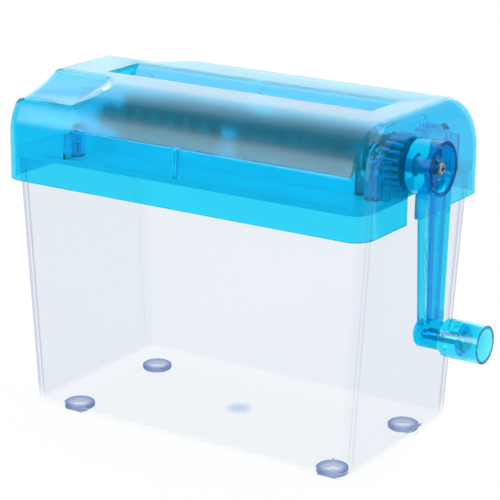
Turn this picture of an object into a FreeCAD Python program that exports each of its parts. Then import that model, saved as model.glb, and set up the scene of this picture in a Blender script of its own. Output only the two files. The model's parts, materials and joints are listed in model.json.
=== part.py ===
import FreeCAD, Part
import Sketcher
import math
import os

doc = FreeCAD.newDocument("HandShredder")
sheet = doc.addObject("Spreadsheet::Sheet", "Sizes")
row = 0


class Size:
    # A number together with the text that finds it in the sheet
    def __init__(self, value, text=None):
        self.value = float(value)
        self.text = text or f"{float(value):.6f}"

    def join(self, other, sign, value):
        return Size(value, f"({self.text} {sign} {other.text})")

    def __add__(self, other):
        other = as_size(other)
        return self.join(other, "+", self.value + other.value)

    def __sub__(self, other):
        other = as_size(other)
        return self.join(other, "-", self.value - other.value)

    def __mul__(self, other):
        other = as_size(other)
        return self.join(other, "*", self.value * other.value)

    def __truediv__(self, other):
        other = as_size(other)
        return self.join(other, "/", self.value / other.value)

    def __neg__(self):
        return as_size(0) - self

    def root(self):
        return Size(math.sqrt(self.value), f"sqrt({self.text})")


def as_size(value):
    return value if isinstance(value, Size) else Size(value)


def size(alias, value):
    global row
    row += 1
    sheet.set(f"A{row}", alias)
    sheet.set(f"B{row}", str(value))
    sheet.setAlias(f"B{row}", alias)
    return Size(value, f"Sizes.{alias}")


# Head: the moulded cover over the cutters
head_length = size("head_length", 170.0)
head_depth = size("head_depth", 94.8)

# Heights, each above the one before: skirt, tray, shafts and the top of the head
skirt_bottom = size("skirt_bottom", 101.2)
tray_rise = size("tray_underside", 9.6)
shaft_rise = size("shaft_height", 10.8)
top_rise = size("head_top", 18.4)

# Walls and roundings of the cover
cover_wall = size("cover_wall", 1.8)
hump_radius = size("hump_radius", 23.0)
end_radius = size("end_radius", 8.0)

# Thumb scoops at the left end of the head, front and rear
scoop_length = size("scoop_length", 31.0)
scoop_land = size("scoop_land", 32.6)
scoop_lip_drop = size("scoop_lip_drop", 7.9)
scoop_radius = size("scoop_radius", 80.0)
scoop_side_run = size("scoop_side_run", 24.0)
scoop_side_rise = size("scoop_side_rise", 9.0)

# Feed slot and its funnel
feed_centre = size("feed_centre", 4.2)
feed_length = size("feed_length", 125.4)
feed_width = size("feed_width", 22.0)
neck_width = size("neck_width", 5.0)
neck_drop = size("neck_drop", 4.2)
neck_lip = size("neck_lip", 2.2)
funnel_wall = size("funnel_wall", 1.6)
fin_thickness = size("fin_thickness", 1.4)

# Shafts, cutters and gears
shaft_spacing = size("shaft_spacing", 20.0)
shaft_radius = size("shaft_radius", 3.0)
running_gap = size("running_gap", 0.05)
seat_gap = size("seat_gap", 0.02)
disc_overlap = size("disc_overlap", 2.0)
core_radius = size("core_radius", 7.2)
strip_width = size("strip_width", 4.0)
disc_gap = size("disc_gap", 0.3)
bank_space = size("bank_space", 13.0)
hub_radius = size("hub_radius", 5.2)
tooth_height = size("tooth_height", 1.0)
gear_face = size("gear_face", 6.4)
gear_backlash = size("gear_backlash", 0.3)
gear_room = size("gear_room", 0.6)
gear_well_depth = size("gear_well_depth", 1.0)
clip_groove = size("clip_groove", 0.5)
clip_thickness = size("clip_thickness", 0.8)
shaft_end_room = size("shaft_end_room", 3.0)

# Tray and bearing plates
tray_thickness = size("tray_thickness", 2.4)
tray_clearance = size("tray_clearance", 0.6)
plate_thickness = size("plate_thickness", 3.0)
plate_height = size("plate_height", 23.5)
plate_width = size("plate_width", 52.0)
guard_height = size("guard_height", 11.3)
comb_rise = size("comb_rise", 7.0)
guard_wall = size("guard_wall", 1.6)
finger_height = size("finger_height", 4.0)
plate_screw_radius = size("plate_screw_radius", 0.9)
plate_screw_inset = size("plate_screw_inset", 4.5)
bush_flange = size("bush_flange", 1.0)
bush_wall = size("bush_wall", 1.4)
post_radius = size("post_radius", 3.0)
post_height = size("post_height", 15.0)
post_inset = size("post_inset", 8.0)
post_spread = size("post_spread", 54.0)
post_cone = size("post_cone", 3.0)
low_post_inset = size("low_post_inset", 31.0)
low_post_side = size("low_post_side", 10.4)
low_post_height = size("low_post_height", 9.8)
screw_radius = size("screw_radius", 1.3)
screw_head_radius = size("screw_head_radius", 2.5)
screw_head_height = size("screw_head_height", 1.6)
screw_length = size("screw_length", 10.0)

# Crank and its grip
crank_gap = size("crank_gap", 1.5)
crank_reach = size("crank_reach", 65.6)
hub_ring_radius = size("hub_ring_radius", 10.6)
hub_depth = size("hub_depth", 11.0)
hub_wall = size("hub_wall", 1.6)
hub_floor = size("hub_floor", 7.6)
boss_radius = size("boss_radius", 4.8)
rib_thickness = size("rib_thickness", 1.3)
arm_thickness = size("arm_thickness", 4.0)
arm_web = size("arm_web", 1.8)
arm_rib = size("arm_rib", 1.8)
arm_set_in = size("arm_set_in", 1.5)
arm_foot_width = size("arm_foot_width", 14.0)
foot_boss_radius = size("foot_boss_radius", 5.6)
foot_boss_inset = size("foot_boss_inset", 2.5)
grip_length = size("grip_length", 17.2)
grip_radius = size("grip_radius", 7.5)
grip_wall = size("grip_wall", 1.2)
grip_sleeve = size("grip_sleeve", 8.0)
pin_radius = size("pin_radius", 2.2)
pin_head_radius = size("pin_head_radius", 4.0)
pin_head_height = size("pin_head_height", 1.8)

# Clear bin and its feet
bin_base_length = size("bin_base_length", 152.6)
bin_base_depth = size("bin_base_depth", 84.4)
bin_top_length = size("bin_top_length", 164.6)
bin_top_depth = size("bin_top_depth", 85.8)
bin_wall = size("bin_wall", 1.8)
bin_floor = size("bin_floor", 2.0)
bin_corner = size("bin_corner", 6.0)
bin_edge = size("bin_edge", 4.0)
rim_gap = size("rim_gap", 0.2)
gate_radius = size("gate_radius", 6.0)
gate_depth = size("gate_depth", 0.5)
foot_radius = size("foot_radius", 6.45)
foot_height = size("foot_height", 2.6)
foot_edge = size("foot_edge", 0.8)
foot_spacing_long = size("foot_spacing_long", 125.0)
foot_spacing_deep = size("foot_spacing_deep", 56.0)
doc.recompute()

# Counts
bank_discs = 6
gear_teeth = 20
feed_notches = 8

# Places worked out from the sizes
half_length = head_length / 2
half_depth = head_depth / 2
front_y = -(shaft_spacing / 2)
rear_y = shaft_spacing / 2
disc_radius = (shaft_spacing + disc_overlap) / 2
disc_thickness = strip_width - disc_gap
bank_length = strip_width * (2 * bank_discs - 1)
tray_underside = skirt_bottom + tray_rise
tray_top = tray_underside + tray_thickness
shaft_height = tray_top + shaft_rise
head_top = shaft_height + top_rise
gear_floor = shaft_height - shaft_spacing / 2 - tooth_height - gear_well_depth
post_x = half_length - post_inset
post_y = post_spread / 2
low_post_x = low_post_inset - half_length
low_post_y = half_depth - low_post_side
feed_left = feed_centre - feed_length / 2
feed_right = feed_centre + feed_length / 2
left_plate = feed_left - 1.5 - plate_thickness
right_plate = feed_right + 1.5
gear_left = half_length - cover_wall - 0.8 - gear_face
crank_inner = half_length + crank_gap
crank_outer = crank_inner + hub_depth
arm_outer = crank_outer - arm_set_in
foot_inner = crank_inner + foot_boss_inset
foot_outer = foot_inner + hub_depth
grip_inner = foot_outer + disc_gap
grip_end = grip_inner + grip_length
crank_height = shaft_height - crank_reach
bin_rim = tray_underside - rim_gap
origin_shift = (half_length - grip_end) / 2
nodes = []


def bind(thing, name, value):
    value = as_size(value)
    thing.setExpression(name, value.text)


def place(thing, x=0, y=0, z=0):
    for axis, value in zip("xyz", (x, y, z)):
        bind(thing, f".Placement.Base.{axis}", value)


def keep(thing, label, y=0, z=0, x=0):
    # A finished sub-part: its label names its file, and its place is on the part's own origin
    thing.Label = label
    place(thing, origin_shift + x, y, z)
    nodes.append(thing)
    return thing


def new_body(name):
    return doc.addObject("PartDesign::Body", name)


def new_sketch(body, role, name, lift=0):
    sketch = body.newObject("Sketcher::SketchObject", name)
    plane = [item for item in body.Origin.OriginFeatures if item.Role == role][0]
    sketch.AttachmentSupport = (plane, [""])
    sketch.MapMode = "FlatFace"
    bind(sketch, ".AttachmentOffset.Base.z", lift)
    return sketch


def fix_point(sketch, edge, end, u, v):
    for kind, value in (("DistanceX", as_size(u)), ("DistanceY", as_size(v))):
        number = sketch.addConstraint(Sketcher.Constraint(kind, -1, 1, edge, end, value.value))
        sketch.setExpression(f"Constraints[{number}]", value.text)


def outline(sketch, corners):
    # Closed outline: a corner is (u, v), or (u, v, radius) where a left-hand arc runs on to the next corner
    count = len(corners)
    points = [FreeCAD.Vector(as_size(c[0]).value, as_size(c[1]).value, 0) for c in corners]
    first = sketch.GeometryCount
    for index in range(count):
        start, end = points[index], points[(index + 1) % count]
        if len(corners[index]) == 2:
            sketch.addGeometry(Part.LineSegment(start, end))
        else:
            sketch.addGeometry(arc_between(start, end, as_size(corners[index][2]).value))
    for index in range(count):
        after = (index + 1) % count
        ends = 2 if is_line(corners[index]) or corners[index][2].value > 0 else 1
        begins = 1 if is_line(corners[after]) or corners[after][2].value > 0 else 2
        sketch.addConstraint(Sketcher.Constraint("Coincident", first + index, ends, first + after, begins))
    for index in range(count):
        begins = 1 if is_line(corners[index]) or corners[index][2].value > 0 else 2
        fix_point(sketch, first + index, begins, corners[index][0], corners[index][1])
        if not is_line(corners[index]):
            radius = corners[index][2] if corners[index][2].value > 0 else -corners[index][2]
            number = sketch.addConstraint(Sketcher.Constraint("Radius", first + index, radius.value))
            sketch.setExpression(f"Constraints[{number}]", radius.text)


def is_line(corner):
    return len(corner) == 2


def arc_between(start, end, radius):
    # Positive radius turns anticlockwise from start to end, negative turns clockwise
    middle = (start + end) * 0.5
    chord = end - start
    side = FreeCAD.Vector(-chord.y, chord.x, 0).normalize()
    reach = math.sqrt(max(radius * radius - chord.Length ** 2 / 4, 0.0))
    centre = middle + side * (reach if radius > 0 else -reach)
    first, last = (start, end) if radius > 0 else (end, start)
    circle = Part.Circle(centre, FreeCAD.Vector(0, 0, 1), abs(radius))
    angles = [math.atan2(p.y - centre.y, p.x - centre.x) for p in (first, last)]
    return Part.ArcOfCircle(circle, angles[0], angles[1])


def circle(sketch, u, v, radius):
    u, v, radius = as_size(u), as_size(v), as_size(radius)
    centre = FreeCAD.Vector(u.value, v.value, 0)
    edge = sketch.addGeometry(Part.Circle(centre, FreeCAD.Vector(0, 0, 1), radius.value))
    fix_point(sketch, edge, 3, u, v)
    number = sketch.addConstraint(Sketcher.Constraint("Radius", edge, radius.value))
    sketch.setExpression(f"Constraints[{number}]", radius.text)


def rectangle(sketch, u0, u1, v0, v1):
    outline(sketch, [(u0, v0), (u1, v0), (u1, v1), (u0, v1)])


def rounded_rectangle(sketch, length, depth, radius):
    u, v, r = length / 2, depth / 2, radius
    outline(sketch, [(r - u, -v), (u - r, -v, r), (u, r - v), (u, v - r, r), (u - r, v), (r - u, v, r),
                     (-u, v - r), (-u, r - v, r)])


def pad(body, sketch, length, name, symmetric=False):
    feature = body.newObject("PartDesign::Pad", name)
    feature.Profile = sketch
    bind(feature, "Length", length)
    if symmetric:
        feature.SideType = "Symmetric"
    return feature


def pocket(body, sketch, length, name, forward=True):
    feature = body.newObject("PartDesign::Pocket", name)
    feature.Profile = sketch
    bind(feature, "Length", length)
    feature.Reversed = forward
    return feature


def turned(name, corners, axis="H_Axis"):
    # A piece turned on a lathe: its half profile spun about the sketch's own axis
    body = new_body(name)
    sketch = new_sketch(body, "XZ_Plane", name + "Profile")
    outline(sketch, corners)
    spin = body.newObject("PartDesign::Revolution", name + "Turn")
    spin.Profile = sketch
    spin.ReferenceAxis = (sketch, [axis])
    spin.Angle = 360.0
    return body


def ring(x0, x1, inner, outer):
    return [(x0, inner), (x1, inner), (x1, outer), (x0, outer)]


def box(name, x0, x1, y0, y1, z0, z1):
    solid = doc.addObject("Part::Box", name)
    x0, x1, y0, y1, z0, z1 = (as_size(v) for v in (x0, x1, y0, y1, z0, z1))
    bind(solid, "Length", x1 - x0)
    bind(solid, "Width", y1 - y0)
    bind(solid, "Height", z1 - z0)
    place(solid, x0, y0, z0)
    return solid


def rod(name, radius, height, x, y, z, along_x=False):
    solid = doc.addObject("Part::Cylinder", name)
    bind(solid, "Radius", radius)
    bind(solid, "Height", height)
    if along_x:
        solid.Placement.Rotation = FreeCAD.Rotation(FreeCAD.Vector(0, 1, 0), 90)
    place(solid, x, y, z)
    return solid


def fused(name, shapes):
    result = doc.addObject("Part::MultiFuse", name)
    result.Shapes = shapes
    return result


def cut(name, base, tool):
    result = doc.addObject("Part::Cut", name)
    result.Base = base
    result.Tool = tool
    return result


def group(name, shapes):
    result = doc.addObject("Part::Compound", name)
    result.Links = shapes
    return result


# Cover

def scoop_tool(name, offset, side):
    # Concave ramp from the lip on the hump up to the crease at the flat land, with a sloping inner side
    land = scoop_land / 2
    top = head_top - offset
    lip = top - scoop_lip_drop
    arc_radius = hump_radius - offset
    lip_y = half_depth - hump_radius + (arc_radius * arc_radius
                                        - (arc_radius - scoop_lip_drop) * (arc_radius - scoop_lip_drop)).root()
    outside = half_depth + 10
    above = head_top + 10
    body = new_body(name)
    sketch = new_sketch(body, "YZ_Plane", name + "Profile")
    if side < 0:
        outline(sketch, [(-lip_y, lip, scoop_radius), (-land, top), (-land, above), (-outside, above),
                         (-outside, lip - 2)])
    else:
        outline(sketch, [(land, top, scoop_radius), (lip_y, lip), (outside, lip - 2), (outside, above),
                         (land, above)])
    start = scoop_length + offset - half_length
    runs = []
    for part, reach, rise in (("Straight", -(scoop_length + 10), as_size(0)),
                              ("Sloped", scoop_side_run, scoop_side_rise)):
        run = doc.addObject("Part::Extrusion", name + part)
        run.Base = sketch
        run.DirMode = "Custom"
        run.Solid = True
        bind(run, ".Dir.x", reach)
        bind(run, ".Dir.y", 0)
        bind(run, ".Dir.z", rise)
        bind(run, "LengthFwd", (reach * reach + rise * rise).root())
        place(run, start)
        runs.append(run)
    return runs


def hump(name, offset, bottom):
    # The rounded block of the head, drawn in by an offset for the inside of the shell
    y, top, r = half_depth - offset, head_top - offset, hump_radius - offset
    body = new_body(name)
    sketch = new_sketch(body, "YZ_Plane", name + "Profile")
    outline(sketch, [(-y, bottom), (y, bottom), (y, top - r, r), (y - r, top), (r - y, top, r), (-y, top - r)])
    pad(body, sketch, head_length - offset * 2, name + "Block", symmetric=True)
    tools = scoop_tool(name + "FrontScoop", offset, -1) + scoop_tool(name + "RearScoop", offset, 1)
    scooped = cut(name + "Scooped", body, fused(name + "Scoops", tools))
    doc.recompute()
    end = (half_length - offset).value
    picked = []
    for number, edge in enumerate(scooped.Shape.Edges, 1):
        bounds = edge.BoundBox
        at_end = abs(abs(bounds.Center.x) - end) < 0.01 and bounds.XLength < 0.01
        if at_end and bounds.ZMax > as_size(bottom).value + 0.5:
            picked.append((number, (end_radius - offset).value, (end_radius - offset).value))
    rounded = doc.addObject("Part::Fillet", name + "Rounded")
    rounded.Base = scooped
    rounded.Edges = picked
    return rounded


def funnel(name, side):
    # One sloping wall of the feed funnel with the upright lip at its foot
    mouth, neck, wall = feed_width / 2, neck_width / 2, funnel_wall
    foot = head_top - neck_drop
    corners = [(mouth + wall, head_top - cover_wall / 2), (mouth, head_top), (neck, foot), (neck, foot - neck_lip),
               (neck + wall, foot - neck_lip), (neck + wall, foot - wall / 2)]
    if side < 0:
        corners = [(-c[0], c[1]) for c in reversed(corners)]
    body = new_body(name)
    sketch = new_sketch(body, "YZ_Plane", name + "Profile", feed_left)
    outline(sketch, corners)
    pad(body, sketch, feed_length, name + "Wall")
    return body


def screw_post(name, x, y, height, web_ends):
    # Hollow post with a web to the nearest wall, closed by a cone at its top
    top = tray_top + height
    bore = screw_radius + seat_gap
    post = turned(name, [(bore, tray_top), (post_radius, tray_top), (post_radius, top), (1.0, top + post_cone),
                         (0, top + post_cone), (0, top - 1), (bore, top - 1)], "V_Axis")
    place(post, x, y)
    web = box(name + "Web", web_ends[0], web_ends[1], web_ends[2], web_ends[3], tray_top, top)
    return [post, web]


def screw_posts():
    # Tall posts at the right end, low ones near the left of the long walls
    half, inner = fin_thickness / 2, post_radius - 0.4
    pieces = []
    for face_name, side in (("Front", -1), ("Rear", 1)):
        y = post_y * side
        ends = (post_x + inner, half_length - cover_wall / 2, y - half, y + half)
        pieces += screw_post("Right" + face_name + "Post", post_x, y, post_height, ends)
        wall = (half_depth - cover_wall / 2) * side
        near = (low_post_y + inner) * side
        ends = (low_post_x - half, low_post_x + half, near if side > 0 else wall, wall if side > 0 else near)
        pieces += screw_post("Left" + face_name + "Post", low_post_x, low_post_y * side, low_post_height, ends)
    return pieces


def gusset(name, side):
    # Rib under a funnel wall, halfway along the slot
    low, high = head_top - neck_drop - neck_lip, head_top - cover_wall / 2
    near, far = neck_width / 2 + funnel_wall / 2, feed_width / 2 + funnel_wall
    corners = [(near, low), (far, high - 1), (far, high), (near, low + neck_lip)]
    if side < 0:
        corners = [(-c[0], c[1]) for c in reversed(corners)]
    body = new_body(name)
    sketch = new_sketch(body, "YZ_Plane", name + "Profile", feed_centre - fin_thickness / 2)
    outline(sketch, corners)
    pad(body, sketch, fin_thickness, name + "Rib")
    return body


outer = hump("Outer", as_size(0), skirt_bottom)
inner = hump("Inner", cover_wall, skirt_bottom - 5)
shell = cut("Shell", outer, inner)
feed_opening = box("FeedOpening", feed_left, feed_right, -(feed_width / 2), feed_width / 2, head_top - 4,
                   head_top + 4)
slot_half = shaft_radius + 1.5
shaft_slot = box("ShaftSlot", half_length - 5, half_length + 5, front_y - slot_half, front_y + slot_half,
                 skirt_bottom - 5, shaft_height)
shaft_slot_top = rod("ShaftSlotTop", slot_half, 10, half_length - 5, front_y, shaft_height, along_x=True)
opened = cut("Opened", shell, fused("CoverCuts", [feed_opening, shaft_slot, shaft_slot_top]))
additions = [opened, funnel("FrontFunnel", -1), funnel("RearFunnel", 1)]
additions += screw_posts()
additions += [gusset("FrontGusset", -1), gusset("RearGusset", 1)]
front_rib = box("FrontRib", -(fin_thickness / 2), fin_thickness / 2, -(half_depth - cover_wall / 2),
                -(half_depth - cover_wall - 2), tray_top + 0.4, head_top - hump_radius + 6)
additions.append(front_rib)
keep(fused("Cover", additions), "top_cover")


# Cutter tray with guard walls and the drop openings

def tray():
    body = new_body("Tray")
    inside = cover_wall + tray_clearance
    plan = new_sketch(body, "XY_Plane", "TrayPlan", tray_underside)
    rounded_rectangle(plan, head_length - inside * 2, head_depth - inside * 2, end_radius - inside)
    pad(body, plan, tray_thickness, "TrayPlate")
    drops = new_sketch(body, "XY_Plane", "TrayDrops", tray_underside)
    half = shaft_spacing / 2 + 6
    for direction in (-1, 1):
        near = feed_centre + (bank_space / 2 - 1) * direction
        far = feed_centre + (bank_space / 2 + bank_length + 2) * direction
        rectangle(drops, near if direction > 0 else far, far if direction > 0 else near, -half, half)
    pocket(body, drops, tray_thickness, "TrayOpenings")
    guards = new_sketch(body, "XY_Plane", "TrayGuards", tray_top)
    guard_y = plate_width / 2 - guard_wall
    for direction in (-1, 1):
        edges = (guard_y * direction, (guard_y + guard_wall) * direction)
        rectangle(guards, left_plate + plate_thickness, right_plate, edges[0] if direction > 0 else edges[1],
                  edges[1] if direction > 0 else edges[0])
    pad(body, guards, guard_height, "TrayWalls")
    holes = new_sketch(body, "XY_Plane", "TrayHoles", tray_underside)
    for side_x in (-1, 1):
        for side_y in (-1, 1):
            corner = (post_x, post_y) if side_x > 0 else (low_post_x, low_post_y)
            circle(holes, corner[0], corner[1] * side_y, screw_radius + seat_gap)
            plate_screw_x = (left_plate if side_x < 0 else right_plate) + plate_thickness / 2
            circle(holes, plate_screw_x, plate_screw_y * side_y, plate_screw_radius + seat_gap)
    pocket(body, holes, tray_thickness, "TrayScrewHoles")
    well = new_sketch(body, "XY_Plane", "GearWell", gear_floor)
    reach = shaft_spacing / 2 + core_radius
    rectangle(well, gear_left - gear_room, gear_left + gear_face + gear_room, -reach, reach)
    pocket(body, well, tray_top - gear_floor, "GearWellCut")
    return body


plate_screw_y = plate_width / 2 - plate_screw_inset
keep(tray(), "cutter_tray")


# Bearing plates: an upright plate with a bore for each shaft and rounded shoulders

def bearing_plate(name, label, x):
    body = new_body(name)
    face = new_sketch(body, "YZ_Plane", name + "Face", x)
    half, shoulder, top = plate_width / 2, as_size(9), tray_top + plate_height
    outline(face, [(-half, tray_top), (half, tray_top), (half, top - shoulder, shoulder), (half - shoulder, top),
                   (shoulder - half, top, shoulder), (-half, top - shoulder)])
    for y in (front_y, rear_y):
        circle(face, y, shaft_height, shaft_radius + running_gap + bush_wall + seat_gap)
    pad(body, face, plate_thickness, name + "Plate")
    holes = new_sketch(body, "XY_Plane", name + "Pilots", tray_top)
    for side_y in (-1, 1):
        circle(holes, x + plate_thickness / 2, plate_screw_y * side_y, plate_screw_radius + seat_gap)
    pocket(body, holes, screw_length - tray_thickness + 1, name + "PilotHoles")
    keep(body, label)


bearing_plate("LeftPlate", "left_bearing_plate", left_plate)
bearing_plate("RightPlate", "right_bearing_plate", right_plate)


# Centre support: an upright with a bore for each shaft in the space between the cutter banks

def centre_support():
    body = new_body("CentreSupport")
    face = new_sketch(body, "YZ_Plane", "CentreFace", feed_centre - plate_thickness / 2)
    half = shaft_spacing / 2 + core_radius
    rectangle(face, -half, half, tray_top, shaft_height + core_radius)
    for y in (front_y, rear_y):
        circle(face, y, shaft_height, shaft_radius + running_gap)
    pad(body, face, plate_thickness, "CentreUpright")
    keep(body, "centre_support")


centre_support()


# Bushes: flanged sleeves pressed into the bearing plates from inside

def bush(name, x, y, direction):
    bore, wall = shaft_radius + running_gap, bush_wall
    inner_face = x + plate_thickness if direction < 0 else x
    flange_end = inner_face - bush_flange * direction
    far = x if direction < 0 else x + plate_thickness
    piece = turned(name, [(far, bore), (flange_end, bore), (flange_end, bore + wall + 1.4),
                          (inner_face, bore + wall + 1.4), (inner_face, bore + wall), (far, bore + wall)])
    place(piece, 0, y, shaft_height)
    return piece


bushes = []
for y_name, y in (("Front", front_y), ("Rear", rear_y)):
    bushes.append(bush("LeftBush" + y_name, left_plate, y, -1))
    bushes.append(bush("RightBush" + y_name, right_plate, y, 1))
keep(group("Bushes", bushes), "shaft_bushes")


# Stripper combs: a bar along the guard wall with a finger in each groove of its roller

def comb(name, label, side, first_slot):
    bar_out = plate_width / 2 - guard_wall - seat_gap
    bar_in = shaft_spacing / 2 + disc_radius + disc_gap
    tip = shaft_spacing / 2 + core_radius + disc_gap
    low, high = tray_top + comb_rise - finger_height, tray_top + comb_rise
    reach = bank_space / 2 + bank_length
    pieces = [box(name + "Bar", feed_centre - reach, feed_centre + reach, bar_in if side > 0 else -bar_out,
                  bar_out if side > 0 else -bar_in, tray_top, high)]
    for bank in (-1, 1):
        start = feed_centre + (bank_space / 2 if bank > 0 else -reach)
        for slot in range(first_slot, 2 * bank_discs - 1, 2):
            middle = start + strip_width * (slot + 0.5)
            half = (strip_width - disc_gap * 4) / 2
            pieces.append(box(f"{name}Finger{bank + 1}{slot}", middle - half, middle + half,
                              tip if side > 0 else -bar_out, bar_out if side > 0 else -tip, low, high))
    keep(fused(name + "Comb", pieces), label)


# Cutter banks: discs on a core, with feed notches along the rims

def cutter_bank(name, label, y, bank, first_slot):
    start = feed_centre + (bank_space / 2 if bank > 0 else -(bank_space / 2) - bank_length)
    bore = shaft_radius + seat_gap
    inner_end = start if bank > 0 else start + bank_length
    plate_face = right_plate if bank > 0 else left_plate + plate_thickness
    outer_end = plate_face - (bush_flange + disc_gap) * bank
    near, far = (inner_end, outer_end) if bank > 0 else (outer_end, inner_end)
    rim = []
    for slot in range(first_slot, 2 * bank_discs - 1, 2):
        x0 = start + strip_width * slot + disc_gap / 2
        rim += [(x0, core_radius), (x0, disc_radius), (x0 + disc_thickness, disc_radius),
                (x0 + disc_thickness, core_radius)]
    core_start, core_end = start, start + bank_length
    profile = [(near, bore), (far, bore)]
    if bank > 0:
        profile += [(far, hub_radius), (core_end, hub_radius)]
    profile += [(core_end, core_radius)] + list(reversed(rim)) + [(core_start, core_radius)]
    if bank < 0:
        profile += [(core_start, hub_radius), (near, hub_radius)]
    body = turned(name, profile)
    notch = new_sketch(body, "YZ_Plane", name + "Notch", near)
    reach, width = core_radius + 2.4, as_size(0.9)
    outline(notch, [(-width, disc_radius + 1), (as_size(0), reach), (width, disc_radius + 1)])
    slot_cut = pocket(body, notch, far - near, name + "NotchCut")
    pattern = body.newObject("PartDesign::PolarPattern", name + "Notches")
    pattern.Originals = [slot_cut]
    pattern.Axis = (notch, ["N_Axis"])
    pattern.Angle = 360
    pattern.Occurrences = feed_notches
    body.Tip = pattern
    keep(body, label, y, shaft_height)


def gear(name, label, y, turn):
    # Straight-flanked teeth on a root cylinder; half a pitch of turn puts one gear's teeth in the other's gaps
    body = new_body(name)
    pitch = shaft_spacing / 2
    root, tip = pitch - tooth_height * 1.25, pitch + tooth_height
    blank = new_sketch(body, "YZ_Plane", name + "Blank", gear_left)
    circle(blank, 0, 0, root)
    circle(blank, 0, 0, shaft_radius + seat_gap)
    pad(body, blank, gear_face, name + "Disc")
    tooth = new_sketch(body, "YZ_Plane", name + "Tooth", gear_left)
    half = shaft_spacing * (math.pi / 4) / gear_teeth - gear_backlash / 2
    low, high = half + tooth_height * 0.5, half - tooth_height * 0.42
    outline(tooth, [(root - 0.6, -low), (root, -low), (tip, -high), (tip, high), (root, low), (root - 0.6, low)])
    teeth = pad(body, tooth, gear_face, name + "ToothPad")
    pattern = body.newObject("PartDesign::PolarPattern", name + "Teeth")
    pattern.Originals = [teeth]
    pattern.Axis = (tooth, ["N_Axis"])
    pattern.Angle = 360
    pattern.Occurrences = gear_teeth
    body.Tip = pattern
    body.Placement.Rotation = FreeCAD.Rotation(FreeCAD.Vector(1, 0, 0), turn)
    keep(body, label, y, shaft_height)


comb("Front", "front_stripper_comb", -1, 1)
comb("Rear", "rear_stripper_comb", 1, 0)
for bank_name, bank in (("left", -1), ("right", 1)):
    cutter_bank(f"FrontCutters{bank_name}", f"front_{bank_name}_cutters", front_y, bank, 0)
    cutter_bank(f"RearCutters{bank_name}", f"rear_{bank_name}_cutters", rear_y, bank, 1)
gear("DriveGear", "drive_gear", front_y, 0)
gear("IdlerGear", "idler_gear", rear_y, 180.0 / gear_teeth)

# Shafts: plain steel rods; the drive shaft runs on through the slot in the cover into the crank
boss_end = crank_outer - 2
shaft_seat_end = boss_end - 3
left_end = left_plate - shaft_end_room
groove_root = shaft_radius - clip_groove
groove_out = left_plate - disc_gap - clip_thickness


def shaft(name, label, y, right_end, tapped):
    profile = [(left_end, 0)]
    if tapped:
        profile += [(right_end - screw_length, 0), (right_end - screw_length, screw_radius + seat_gap),
                    (right_end, screw_radius + seat_gap)]
    else:
        profile += [(right_end, 0)]
    profile += [(right_end, shaft_radius), (left_plate - disc_gap, shaft_radius), (left_plate - disc_gap, groove_root),
                (groove_out, groove_root), (groove_out, shaft_radius), (left_end, shaft_radius)]
    keep(turned(name, profile), label, y, shaft_height)
    ring_body = turned(name + "Clip", ring(groove_out, left_plate - disc_gap, groove_root, shaft_radius + 1.6))
    keep(ring_body, label + "_clip", y, shaft_height)


shaft("DriveShaft", "drive_shaft", front_y, shaft_seat_end, True)
shaft("IdlerShaft", "idler_shaft", rear_y, gear_left + gear_face + 0.3, False)


# Crank: cup-shaped hub with three ribs, ribbed tapered arm and a boss for the grip pin

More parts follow.
